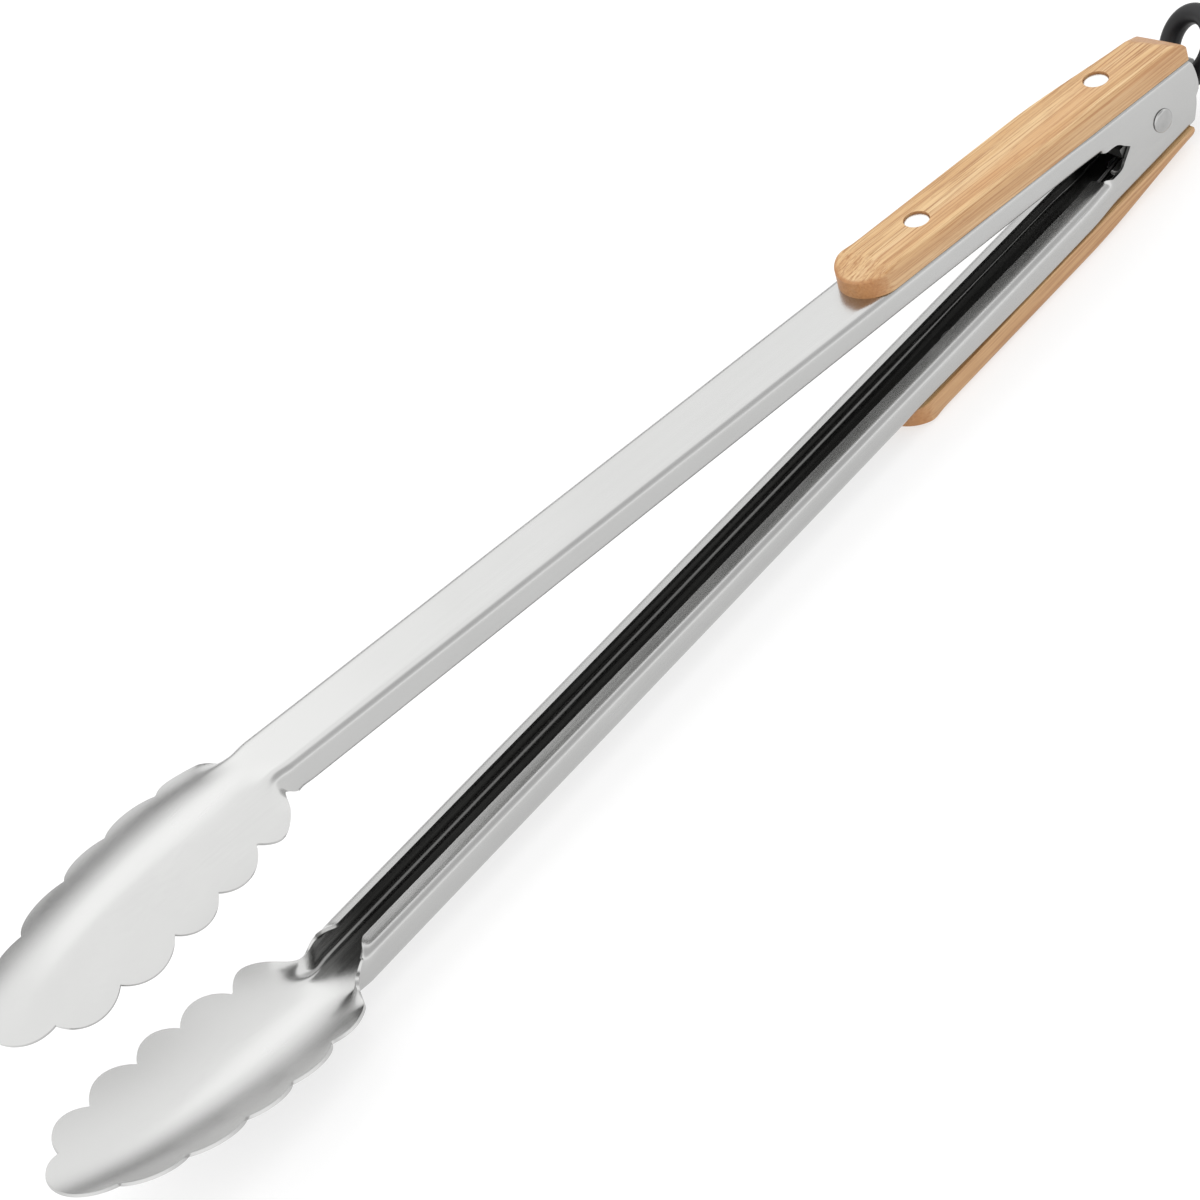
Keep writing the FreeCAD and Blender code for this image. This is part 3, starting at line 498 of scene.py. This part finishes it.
def make_scale(name, matrix, cut):
    insets = [0.0, 0.0, 0.12, 0.3, 0.6, 0.9, 1.15, 1.3, 1.45, 1.7, 2.1, 2.6, 3.1, 3.6, 4.1, 4.6,
              5.1, 5.8, 6.6, 7.6, 8.6]
    vertices, faces, rings = [], [], []
    for level, inset in enumerate(insets):
        ring = []
        for x, y in outline(inset, cut):
            z = 0.02 if level == 0 else scale_top(x, y, inset, cut)
            ring.append(len(vertices))
            vertices.append((x + SCALE_REAR, y, z + WEB))
        rings.append(ring)
    count = len(rings[0])
    for low, high in zip(rings, rings[1:]):
        for k in range(count):
            n = (k + 1) % count
            faces.append((low[k], low[n], high[n], high[k]))
    faces.append(tuple(rings[-1]))
    faces.append(tuple(reversed(rings[0])))
    obj = new_object(name, vertices, faces, matrix)
    tidy_normals(obj)
    cutters = []
    for number, place in enumerate(RIVETS):
        floor = WEB + SCALE_THICK - RIVET_SINK - SEAT_DEPTH
        seat = lathe(f"{name}_seat_{number}",
                     [(0, 0.0), (SEAT_RADIUS, 0.0), (SEAT_RADIUS, 4.0), (0, 4.0)],
                     matrix @ Matrix.Translation((place * MM, 0, floor * MM)), 96)
        cut_out = obj.modifiers.new(f"seat_{number}", "BOOLEAN")
        cut_out.operation = "DIFFERENCE"
        cut_out.solver = "EXACT"
        cut_out.object = seat
        cutters.append(seat)
    bevel(obj, 0.16, 2, 40)
    apply_modifiers(obj)
    for cutter in cutters:
        bpy.data.objects.remove(cutter)
    return obj


def apply_modifiers(obj):
    graph = bpy.context.evaluated_depsgraph_get()
    mesh = bpy.data.meshes.new_from_object(obj.evaluated_get(graph))
    obj.modifiers.clear()
    obj.data = mesh


# --- rivets, pin, washer --------------------------------------------------------------------

DISC_RADIUS = 3.45
DISC_THICK = 1.0
TUBE_RADIUS = 2.0
SHANK_RADIUS = 1.2
STUD_RADIUS = 3.1


def make_rivet(prefix, arm, x):
    """Cutlery rivet: a disc with a tube outside, and a stud pressed into it from inside."""
    place = arm @ Matrix.Translation((x * MM, 0, WEB * MM))
    face = SCALE_THICK - RIVET_SINK
    under = face - DISC_THICK
    middle = SCALE_THICK / 2
    disc = [(0, face - 0.05), (1.5, face - 0.045), (2.9, face - 0.02), (DISC_RADIUS - 0.2, face),
            (DISC_RADIUS - 0.07, face - 0.05), (DISC_RADIUS, face - 0.16), (DISC_RADIUS, under),
            (TUBE_RADIUS, under), (TUBE_RADIUS, -GAUGE), (SHANK_RADIUS, -GAUGE),
            (SHANK_RADIUS, middle), (0, middle)]
    socket = lathe(prefix + "_disc", disc, place, 96)
    stud = lathe(prefix + "_shank", rounded(
        [(0, -GAUGE - 0.8), (STUD_RADIUS, -GAUGE - 0.72), (STUD_RADIUS, -GAUGE),
         (SHANK_RADIUS, -GAUGE), (SHANK_RADIUS, middle), (0, middle)], 0.18), place, 72)
    return socket, stud


PIN_RADIUS = 2.0
PIN_SEAT = UPPER_EAR_HALF + 0.1
HEAD_RADIUS = 3.3
HEAD_HEIGHT = 1.0
HEAD_RIM = 0.06
PIN_TAIL = PIN_SEAT + 0.7
WASHER_RADIUS = 3.8
WASHER_THICK = 0.6


def make_pin():
    """Hinge pin: domed head on the near side, peened end on the far side."""
    dome = [(HEAD_RADIUS * t,
             PIN_SEAT + HEAD_RIM + (HEAD_HEIGHT - HEAD_RIM) * math.sqrt(max(0.0, 1 - t * t)))
            for t in np.sin(np.linspace(0, math.pi / 2, 26))]
    shaft = [(HEAD_RADIUS - 0.08, PIN_SEAT), (PIN_RADIUS, PIN_SEAT), (PIN_RADIUS, -PIN_TAIL)]
    peened = ((2.85, 0.0), (2.9, 0.15), (2.6, 0.6), (2.1, 0.9), (1.2, 1.0), (0, 0.98))
    end = [(radius, -PIN_TAIL - past) for radius, past in peened]
    return lathe("hinge_pin", dome + shaft + end, ALONG_PIN, 96)


def make_washer():
    near, far = -PIN_SEAT, -PIN_SEAT - WASHER_THICK
    points = [(PIN_RADIUS, near), (WASHER_RADIUS, near), (WASHER_RADIUS, far),
              (PIN_RADIUS, far), (PIN_RADIUS, near)]
    return lathe("hinge_washer", rounded(points, 0.12), ALONG_PIN, 96)


# --- pull ring, spring ----------------------------------------------------------------------

RING_RADIUS = 8.5
RING_SECTION = 2.84
RING_SEAM = 0.05
RING_TILT = math.radians(40)
RING_TWIST = math.radians(-12)


def make_ring():
    """Moulded ring with a fine parting line round its outside and inside."""
    eye = Vector(JOINTS["ring_swing"]["pos_m"])
    away = Vector((-math.cos(RING_TILT), 0, math.sin(RING_TILT)))
    turn = Matrix.Rotation(RING_TWIST, 4, away) @ Matrix.Rotation(RING_TILT, 4, "Y")
    place = Matrix.Translation(eye + away * RING_RADIUS * MM) @ turn
    around, across = 144, 56
    vertices, faces = [], []
    for i in range(around):
        a = 2 * math.pi * i / around
        for k in range(across):
            b = 2 * math.pi * k / across
            r = RING_SECTION - (0.0 if k % (across // 2) else RING_SEAM)
            out = RING_RADIUS + r * math.cos(b)
            vertices.append((out * math.cos(a), out * math.sin(a), r * math.sin(b)))
            n, m = (i + 1) % around, (k + 1) % across
            faces.append((i * across + k, n * across + k, n * across + m, i * across + m))
    obj = new_object("ring_loop", vertices, faces, place)
    tidy_normals(obj)
    return obj


def tube(name, path, radius, matrix, sides=20):
    """A round wire along a path of points, with its ends closed."""
    path = np.array(path, float)
    tangents = np.gradient(path, axis=0)
    tangents /= np.linalg.norm(tangents, axis=1)[:, None]
    up = np.cross(tangents[0], (0, 1, 0))
    up /= np.linalg.norm(up)
    vertices, faces = [], []
    for point, tangent in zip(path, tangents):
        up = up - tangent * (up @ tangent)
        up /= np.linalg.norm(up)
        side = np.cross(tangent, up)
        for k in range(sides):
            a = 2 * math.pi * k / sides
            vertices.append(point + radius * (math.cos(a) * up + math.sin(a) * side))
    for i in range(len(path) - 1):
        for k in range(sides):
            n = (k + 1) % sides
            a, b = i * sides, (i + 1) * sides
            faces.append((a + k, a + n, b + n, b + k))
    faces.append(tuple(reversed(range(sides))))
    last = (len(path) - 1) * sides
    faces.append(tuple(range(last, last + sides)))
    obj = new_object(name, vertices, faces, matrix)
    tidy_normals(obj)
    return obj


WIRE = 0.6
COIL_RADIUS = 4.2
COIL_START = 2.05
COIL_PITCH = 1.3
LEG_REACH = 26.0
LEG_GAP = 0.4


def make_spring():
    """Torsion spring: a coil round the pin, and straight legs that bear on the arms' webs."""
    bearing = WEB - GAUGE - WIRE - LEG_GAP
    distance = math.hypot(LEG_REACH, bearing)
    leg = math.atan2(bearing, LEG_REACH)
    tangent = math.acos(COIL_RADIUS / distance)
    low = -(leg + tangent)
    high = leg + tangent + OPENING
    turns = 3 - (high - low) / (2 * math.pi)
    drift = math.sqrt(distance ** 2 - COIL_RADIUS ** 2) * COIL_PITCH / (2 * math.pi * COIL_RADIUS)

    def polar(length, angle, y):
        return np.array([length * math.cos(angle), y, length * math.sin(angle)])

    steps = int(turns * 40)
    coil = [polar(COIL_RADIUS, low - 2 * math.pi * turns * k / steps,
                  COIL_START + COIL_PITCH * turns * k / steps) for k in range(steps + 1)]
    low_tip = polar(distance, -leg, coil[0][1] - drift)
    high_tip = polar(distance, leg + OPENING, coil[-1][1] + drift)
    path = [low_tip + (coil[0] - low_tip) * k / 12 for k in range(12)]
    path += coil
    path += [coil[-1] + (high_tip - coil[-1]) * k / 12 for k in range(1, 13)]
    obj = tube("spring_wire", path, WIRE - 0.01, AT_PIN)
    bevel(obj, 0.12, 2, 60)
    apply_modifiers(obj)
    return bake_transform(obj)


# --- materials ------------------------------------------------------------------------------

class Nodes:
    """Short calls for building a node tree, with coordinates in an arm's frame if one is given."""

    def __init__(self, name, arm=Matrix.Identity(4)):
        self.material = bpy.data.materials.new(name)
        self.material.use_nodes = True
        self.tree = self.material.node_tree
        self.shader = self.tree.nodes["Principled BSDF"]
        source = self.add("ShaderNodeTexCoord")
        back = arm.inverted()
        self.spot = self.moved(source.outputs["Object"], "POINT", back)
        self.facing = self.moved(source.outputs["Normal"], "VECTOR", back)

    def moved(self, vector, kind, matrix):
        node = self.add("ShaderNodeMapping", vector_type=kind)
        node.inputs["Rotation"].default_value = matrix.to_euler()
        if kind == "POINT":
            node.inputs["Location"].default_value = matrix.to_translation()
        self.link(vector, node.inputs["Vector"])
        return node.outputs["Vector"]

    def add(self, kind, **inputs):
        node = self.tree.nodes.new(kind)
        for key, value in inputs.items():
            if hasattr(node, key):
                setattr(node, key, value)
        return node

    def link(self, source, target):
        self.tree.links.new(source, target)

    def split(self, vector):
        node = self.add("ShaderNodeSeparateXYZ")
        self.link(vector, node.inputs[0])
        return node.outputs

    def stretched(self, scale):
        mapping = self.add("ShaderNodeMapping")
        mapping.inputs["Scale"].default_value = scale
        self.link(self.spot, mapping.inputs["Vector"])
        return mapping.outputs["Vector"]

    def noise(self, scale, detail=3.0, rough=0.5, distortion=0.0, size=1.0):
        node = self.add("ShaderNodeTexNoise")
        self.link(self.stretched(scale), node.inputs["Vector"])
        node.inputs["Scale"].default_value = size
        node.inputs["Detail"].default_value = detail
        node.inputs["Roughness"].default_value = rough
        node.inputs["Distortion"].default_value = distortion
        return node.outputs["Fac"]

    def ramp(self, source, *stops):
        node = self.add("ShaderNodeValToRGB")
        while len(node.color_ramp.elements) < len(stops):
            node.color_ramp.elements.new(0.5)
        for element, (place, colour) in zip(node.color_ramp.elements, stops):
            element.position = place
            if not hasattr(colour, "__len__"):
                colour = (colour,) * 3
            element.color = (*colour, 1)
        self.link(source, node.inputs["Fac"])
        return node.outputs["Color"]

    def math(self, operation, a, b=0.0, c=0.0, clamp=False):
        node = self.add("ShaderNodeMath", operation=operation, use_clamp=clamp)
        for socket, value in zip(node.inputs, (a, b, c)):
            if isinstance(value, (int, float)):
                socket.default_value = value
            else:
                self.link(value, socket)
        return node.outputs[0]

    def mix(self, factor, a, b, blend="MIX"):
        node = self.add("ShaderNodeMix", data_type="RGBA", blend_type=blend)
        for socket, value in ((node.inputs[0], factor), (node.inputs[6], a), (node.inputs[7], b)):
            if isinstance(value, (int, float)):
                socket.default_value = value
            elif isinstance(value, tuple):
                socket.default_value = (*value, 1)
            else:
                self.link(value, socket)
        return node.outputs[2]

    def bump(self, height, strength, distance, onto=None):
        node = self.add("ShaderNodeBump")
        node.inputs["Strength"].default_value = strength
        node.inputs["Distance"].default_value = distance
        self.link(height, node.inputs["Height"])
        if onto is not None:
            self.link(onto, node.inputs["Normal"])
        return node.outputs["Normal"]


def inside_shade_mask(n):
    """1 on the faces of an arm that look into its channel, fading out at the spoon, where the
    channel's inside gets painted shade.
    """
    spot, facing = n.split(n.spot), n.split(n.facing)
    rise = n.math("SUBTRACT", spot["Z"], CHANNEL_MIDDLE * MM)
    outward = n.math("MULTIPLY_ADD", facing["Y"], spot["Y"],
                     n.math("MULTIPLY", facing["Z"], rise))
    inner = n.ramp(n.math("MULTIPLY_ADD", outward, 400.0, 0.5), (0.35, 1.0), (0.6, 0.0))
    along = n.ramp(n.math("MULTIPLY", spot["X"], 2.0), (0.605, 1.0), (0.655, 0.0))
    return n.math("MULTIPLY", inner, along)


def rim_shade_mask(n):
    """1 on the sheared rims of the ears, whose faces look along the arm's middle plane; these rims
    get painted shade.
    """
    spot, facing = n.split(n.spot), n.split(n.facing)
    flat = n.ramp(n.math("ABSOLUTE", facing["Y"]), (0.35, 1.0), (0.8, 0.0))
    below = n.ramp(n.math("MULTIPLY", spot["Z"], 50.0), (0.40, 1.0), (0.44, 0.0))
    behind = n.ramp(n.math("MULTIPLY", spot["X"], 10.0), (0.19, 1.0), (0.21, 0.0))
    return n.math("MULTIPLY", flat, n.math("MULTIPLY", below, behind))


SATIN_STEEL = (0.50, 0.50, 0.495)
# Darker tone painted on the lower arm's channel inside as shade.
CHANNEL_SHADE = (0.25, 0.25, 0.245)
# Dark tone painted on the ears' rims as shade.
RIM_SHADE = (0.15, 0.15, 0.15)


def steel(name, colour, low_rough, high_rough, brush=(10, 2000, 2000), strength=0.05, streak=0.05,
          arm=Matrix.Identity(4), inside=None):
    """Satin steel with fine brushing along the arm's X axis and faint smudges.

    inside is the darker tone painted on a channel's inside as shade, where the piece is an arm; it
    also brings painted shade on the rims of the ears.
    """
    n = Nodes(name, arm)
    lines = n.noise(brush, 3, 0.55)
    smudge = n.noise((38, 60, 60), 3, 0.5)
    mixed = n.math("MULTIPLY_ADD", smudge, 0.6, n.math("MULTIPLY", lines, 0.4))
    rough = n.add("ShaderNodeMapRange")
    n.link(mixed, rough.inputs["Value"])
    rough.inputs["From Min"].default_value = 0.3
    rough.inputs["From Max"].default_value = 0.7
    rough.inputs["To Min"].default_value = low_rough
    rough.inputs["To Max"].default_value = high_rough
    n.link(rough.outputs["Result"], n.shader.inputs["Roughness"])
    dark = tuple(c * (1 - streak) for c in colour)
    tone = n.mix(n.ramp(mixed, (0.35, 0.0), (0.65, 1.0)), dark, colour)
    if inside is not None:
        painted_shade = n.mix(n.ramp(lines, (0.3, 0.0), (0.7, 1.0)), tuple(c * 0.6 for c in inside), inside)
        # Painted shade: a darker tone on the faces inside the channel.
        tone = n.mix(inside_shade_mask(n), tone, painted_shade)
        # Painted shade: the rims of the ears are darkened.
        tone = n.mix(n.math("MULTIPLY", rim_shade_mask(n), 0.6), tone, RIM_SHADE)
    n.link(tone, n.shader.inputs["Base Color"])
    n.shader.inputs["Metallic"].default_value = 1.0
    fine = n.bump(lines, strength, 0.00002)
    n.link(n.bump(n.noise((30, 40, 40), 2, 0.4), 0.05, 0.0004, fine), n.shader.inputs["Normal"])
    return n.material


def wood(name, seed, arm):
    """Pale hardwood: growth rings, fibre streaks, pores, darker end grain, and painted shade on the
    sides.
    """
    n = Nodes(name, arm)
    shifted = n.add("ShaderNodeMapping")
    shifted.inputs["Location"].default_value = (seed * 0.37, seed * 0.11, seed * 0.23)
    n.link(n.spot, shifted.inputs["Vector"])
    n.spot = shifted.outputs["Vector"]
    bands = n.noise((7, 240, 170), 4, 0.62, 0.5)
    fibre = n.noise((24, 1900, 1900), 5, 0.68)
    pores = n.noise((130, 3000, 3000), 2, 0.5)
    patch = n.noise((12, 120, 90), 2, 0.5)
    base = n.ramp(bands, (0.30, (0.38, 0.20, 0.078)), (0.40, (0.53, 0.32, 0.145)),
                  (0.55, (0.62, 0.42, 0.215)), (0.74, (0.67, 0.50, 0.29)))
    streaks = n.ramp(fibre, (0.38, 0.95), (0.54, 0.0))
    colour = n.mix(streaks, base, (0.33, 0.155, 0.055))
    dots = n.ramp(pores, (0.60, 0.0), (0.70, 1.0))
    colour = n.mix(n.math("MULTIPLY", dots, 0.5), colour, (0.28, 0.115, 0.04))
    reddish = n.ramp(patch, (0.52, 0.0), (0.70, 1.0))
    colour = n.mix(n.math("MULTIPLY", reddish, 0.35), colour, (0.46, 0.215, 0.085))
    facing = n.split(n.facing)
    # The sides show the growth-ring bands in a darker brown; the darkness is painted shade.
    flank_shade = n.ramp(n.math("ABSOLUTE", facing["Y"]), (0.55, 0.0), (0.9, 0.45))
    colour = n.mix(flank_shade, colour, n.mix(bands, (0.28, 0.12, 0.055), (0.52, 0.32, 0.17)))
    ends = n.ramp(n.math("ABSOLUTE", facing["X"]), (0.10, 0.0), (0.55, 1.0))
    grain_end = n.mix(n.noise((1300, 1300, 1300), 3, 0.6), (0.24, 0.09, 0.028), (0.46, 0.22, 0.08))
    colour = n.mix(n.math("MULTIPLY", ends, 0.85), colour, grain_end)
    n.link(colour, n.shader.inputs["Base Color"])
    n.link(n.math("MULTIPLY_ADD", fibre, 0.22, 0.36), n.shader.inputs["Roughness"])
    height = n.math("SUBTRACT", n.math("MULTIPLY", fibre, 0.5), n.math("MULTIPLY", dots, 0.6))
    n.link(n.bump(height, 0.35, 0.00012), n.shader.inputs["Normal"])
    n.shader.inputs["Specular IOR Level"].default_value = 0.4
    return n.material


def rubber(name):
    """Black moulded rubber with a fine grain and faint wear marks."""
    n = Nodes(name)
    grain = n.noise((900, 900, 900), 3, 0.6)
    marks = n.noise((90, 90, 90), 3, 0.6)
    tone = n.mix(marks, (0.004, 0.004, 0.005), (0.011, 0.011, 0.012))
    n.link(tone, n.shader.inputs["Base Color"])
    n.link(n.math("MULTIPLY_ADD", marks, 0.14, 0.38), n.shader.inputs["Roughness"])
    n.link(n.bump(grain, 0.15, 0.00006), n.shader.inputs["Normal"])
    n.shader.inputs["Specular IOR Level"].default_value = 0.3
    return n.material


def paint(obj, material):
    """Fill a piece's material slots; a new mesh gets its first one here."""
    if not obj.material_slots:
        obj.data.materials.append(material)
    for slot in obj.material_slots:
        slot.material = material


# --- assembly -------------------------------------------------------------------------------

ARM_STEEL = {
    "upper": steel("upper_steel_satin", SATIN_STEEL, 0.20, 0.28, arm=UPPER),
    # The lower arm carries painted shade inside its channel and on the rims of its ears.
    "lower": steel("lower_steel_satin_shaded", SATIN_STEEL, 0.20, 0.28, arm=LOWER, inside=CHANNEL_SHADE),
}
PIN_STEEL = steel("pin_steel_polished", (0.46, 0.46, 0.455), 0.16, 0.26, (500, 500, 500), 0.12, 0.2)
RIVET_STEEL = steel("rivet_steel_faced", (0.74, 0.74, 0.73), 0.24, 0.34, (700, 700, 700), 0.06)
# The spring and the lock slider sit in the throat between the ears; their dark base colours are
# painted shade.
SPRING_SHADE_STEEL = steel("spring_steel_drawn_shaded", (0.13, 0.13, 0.128), 0.22, 0.34, (900, 900, 900), 0.08)
SLIDER_SHADE_STEEL = steel("slider_steel_plain_shaded", (0.18, 0.18, 0.177), 0.28, 0.40, (300, 900, 300), 0.10)
RING_BLACK = rubber("ring_black")

SIDES = (
    ("upper", UPPER, 0.0, UPPER_EAR_HALF, UPPER_REAR, UPPER_BOTTOM),
    ("lower", LOWER, LOWER_SCALE_CUT, LOWER_EAR_HALF, LOWER_REAR, LOWER_BOTTOM),
)
for number, (side, matrix, cut, ear_half, rear, bottom) in enumerate(SIDES):
    body = side + "_jaw"
    arm = make_arm(side + "_arm_sheet", matrix, ear_half, rear, bottom)
    paint(arm, ARM_STEEL[side])
    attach(arm, body)
    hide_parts(side + "_arm")
    grip = make_scale(side + "_grip_wood", matrix, cut)
    paint(grip, wood(side + "_grip_grain", 1.0 + 2.7 * number, matrix))
    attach(grip, body)
    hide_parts(side + "_handle_scale")
    for place, x in zip(("rear", "front"), RIVETS):
        node = f"{side}_{place}_rivet"
        for piece, half in zip(make_rivet(node, matrix, x), ("socket", "stud")):
            paint(piece, RIVET_STEEL)
            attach(piece, body)
            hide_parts(f"{node}_{half}")

for piece, node, material in (
    (make_pin(), "pivot_pin", PIN_STEEL),
    (make_washer(), "pivot_washer", PIN_STEEL),
):
    paint(piece, material)
    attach(piece, "lower_jaw")
    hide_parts(node)

spring = make_spring()
paint(spring, SPRING_SHADE_STEEL)
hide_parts("torsion_spring")

loop = make_ring()
paint(loop, RING_BLACK)
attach(loop, "ring")
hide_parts("pull_ring")

slider = frame["nodes"]["lock_slider"]
paint(slider, SLIDER_SHADE_STEEL)
bevel(slider, 0.15, 2, 40)
spacer = frame["nodes"]["pivot_spacer"]
paint(spacer, PIN_STEEL)
bevel(spacer, 0.1, 2, 40)


# --- stage, light, camera -------------------------------------------------------------------

FLOOR_HALF = 3000.0
FLOOR_DROP = 0.1
FLOOR_GLOW = 1.75
SKY_LEVEL = 1.52
# A grey card above the tongs' near side: the bends and the insides mirror it.
CARD_DIRECTION = (-0.38, 0.66, 0.65)
CARD_LEVEL = 0.50
BACK_LEVEL = 0.06
CAMERA_PLACE = (1.345986, 1.925615, 2.010040)
CAMERA_TURN = (45.806, 18.2392, 132.5005)
CAMERA_LENS = 355.6255


def make_floor():
    signs = ((-1, -1), (1, -1), (1, 1), (-1, 1))
    corners = [(x * FLOOR_HALF, y * FLOOR_HALF, 0) for x, y in signs]
    floor = new_object("studio_floor", corners, [(0, 1, 2, 3)])
    floor.location.z = -FLOOR_DROP * MM
    n = Nodes("floor_white")
    tone = n.mix(n.noise((3, 3, 3), 2, 0.5), (0.35, 0.35, 0.35), (0.37, 0.37, 0.37))
    n.link(tone, n.shader.inputs["Base Color"])
    n.link(tone, n.shader.inputs["Emission Color"])
    n.shader.inputs["Emission Strength"].default_value = FLOOR_GLOW
    n.shader.inputs["Roughness"].default_value = 0.7
    n.shader.inputs["Specular IOR Level"].default_value = 0.1
    paint(floor, n.material)


def make_world():
    world = bpy.data.worlds.new("studio")
    bpy.context.scene.world = world
    world.use_nodes = True
    tree = world.node_tree
    background = tree.nodes["Background"]
    background.inputs["Color"].default_value = (1.0, 1.0, 1.0, 1)
    spot = tree.nodes.new("ShaderNodeTexCoord").outputs["Generated"]

    def ranged(source, bounds, levels):
        node = tree.nodes.new("ShaderNodeMapRange")
        node.interpolation_type = "SMOOTHSTEP"
        tree.links.new(source, node.inputs["Value"])
        node.inputs["From Min"].default_value, node.inputs["From Max"].default_value = bounds
        node.inputs["To Min"].default_value, node.inputs["To Max"].default_value = levels
        return node.outputs["Result"]

    def times(a, b):
        node = tree.nodes.new("ShaderNodeMath")
        node.operation = "MULTIPLY"
        for socket, value in zip(node.inputs, (a, b)):
            if isinstance(value, float):
                socket.default_value = value
            else:
                tree.links.new(value, socket)
        return node.outputs[0]

    toward = tree.nodes.new("ShaderNodeVectorMath")
    toward.operation = "DOT_PRODUCT"
    tree.links.new(spot, toward.inputs[0])
    toward.inputs[1].default_value = CARD_DIRECTION
    card = ranged(toward.outputs["Value"], (0.80, 0.97), (1.0, CARD_LEVEL))
    split = tree.nodes.new("ShaderNodeSeparateXYZ")
    tree.links.new(spot, split.inputs[0])
    # The backdrop is dim just above the floor, but only behind the tongs.
    low_back = ranged(split.outputs["Z"], (-0.05, 0.42), (1.0 - BACK_LEVEL, 0.0))
    behind = ranged(split.outputs["Y"], (-0.75, -0.35), (1.0, 0.0))
    dim = tree.nodes.new("ShaderNodeMath")
    dim.operation = "SUBTRACT"
    dim.inputs[0].default_value = 1.0
    tree.links.new(times(low_back, behind), dim.inputs[1])
    tree.links.new(times(times(card, dim.outputs[0]), SKY_LEVEL), background.inputs["Strength"])


def area_light(name, location, size, power, aim):
    data = bpy.data.lights.new(name, "AREA")
    data.shape = "RECTANGLE"
    data.size, data.size_y = size
    data.energy = power
    lamp = bpy.data.objects.new(name, data)
    bpy.context.scene.collection.objects.link(lamp)
    lamp.location = location
    # It lights the upper arm's web and is seen only in the steel's reflections.
    lamp.visible_camera = False
    lamp.rotation_mode = "QUATERNION"
    lamp.rotation_quaternion = (Vector(aim) - Vector(location)).to_track_quat("-Z", "Y")


def make_camera():
    data = bpy.data.cameras.new("camera")
    data.sensor_width = 36.0
    data.lens = CAMERA_LENS
    data.clip_start = 0.05
    data.clip_end = 50.0
    camera = bpy.data.objects.new("camera", data)
    bpy.context.scene.collection.objects.link(camera)
    camera.location = CAMERA_PLACE
    camera.rotation_euler = [math.radians(a) for a in CAMERA_TURN]
    bpy.context.scene.camera = camera


make_floor()
make_world()
area_light("web_soft", (0.075, -0.53, 0.55), (0.45, 0.35), 0.16, (0.33, 0, 0.07))
make_camera()
scene = bpy.context.scene
scene.view_settings.view_transform = "Standard"
scene.view_settings.look = "None"
scene.view_settings.exposure = 0.0
